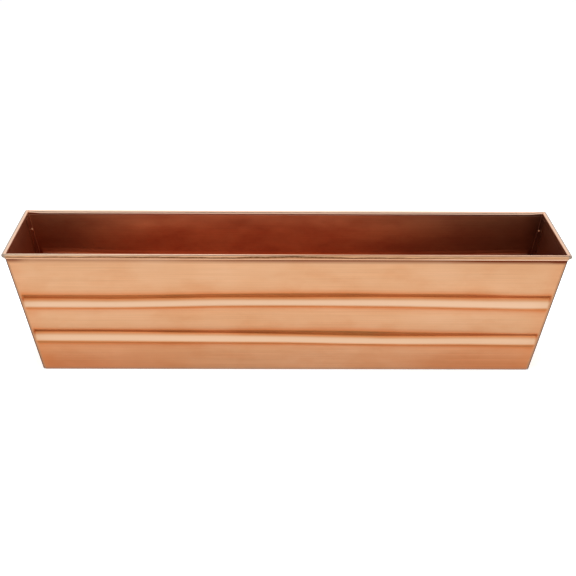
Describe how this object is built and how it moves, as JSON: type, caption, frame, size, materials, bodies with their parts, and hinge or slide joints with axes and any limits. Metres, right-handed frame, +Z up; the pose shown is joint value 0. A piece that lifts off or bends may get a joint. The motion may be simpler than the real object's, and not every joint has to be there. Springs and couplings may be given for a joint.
{
  "type": "window box planter",
  "caption": "Long open trough of copper-plated sheet metal with outward-leaning walls, pressed grooves along the long sides and a rolled wired rim, for planting on a sill or on brackets.",
  "frame": {"origin": "on the ground, under the middle of the planter", "axes": "+X along the length to the right as seen from the front, +Y from the front to the back, +Z up"},
  "size_m": [0.895, 0.229, 0.206],
  "materials": {
    "copper_plate": "brushed copper plating on galvanised steel sheet",
    "galvanised_wire": "galvanised",
    "rivet_copper": "copper plated, slightly dull"
  },
  "bodies": {
    "root": {"front_panel": "copper_plate", "back_panel": "copper_plate", "left_end_panel": "copper_plate", "right_end_panel": "copper_plate", "floor_pan": "copper_plate", "rim_wire": "galvanised_wire", "rivet_front_left_1": "rivet_copper", "rivet_front_left_2": "rivet_copper", "rivet_front_left_3": "rivet_copper", "rivet_front_right_1": "rivet_copper", "rivet_front_right_2": "rivet_copper", "rivet_front_right_3": "rivet_copper", "rivet_back_left_1": "rivet_copper", "rivet_back_left_2": "rivet_copper", "rivet_back_left_3": "rivet_copper", "rivet_back_right_1": "rivet_copper", "rivet_back_right_2": "rivet_copper", "rivet_back_right_3": "rivet_copper"}
  },
  "joints": []
}
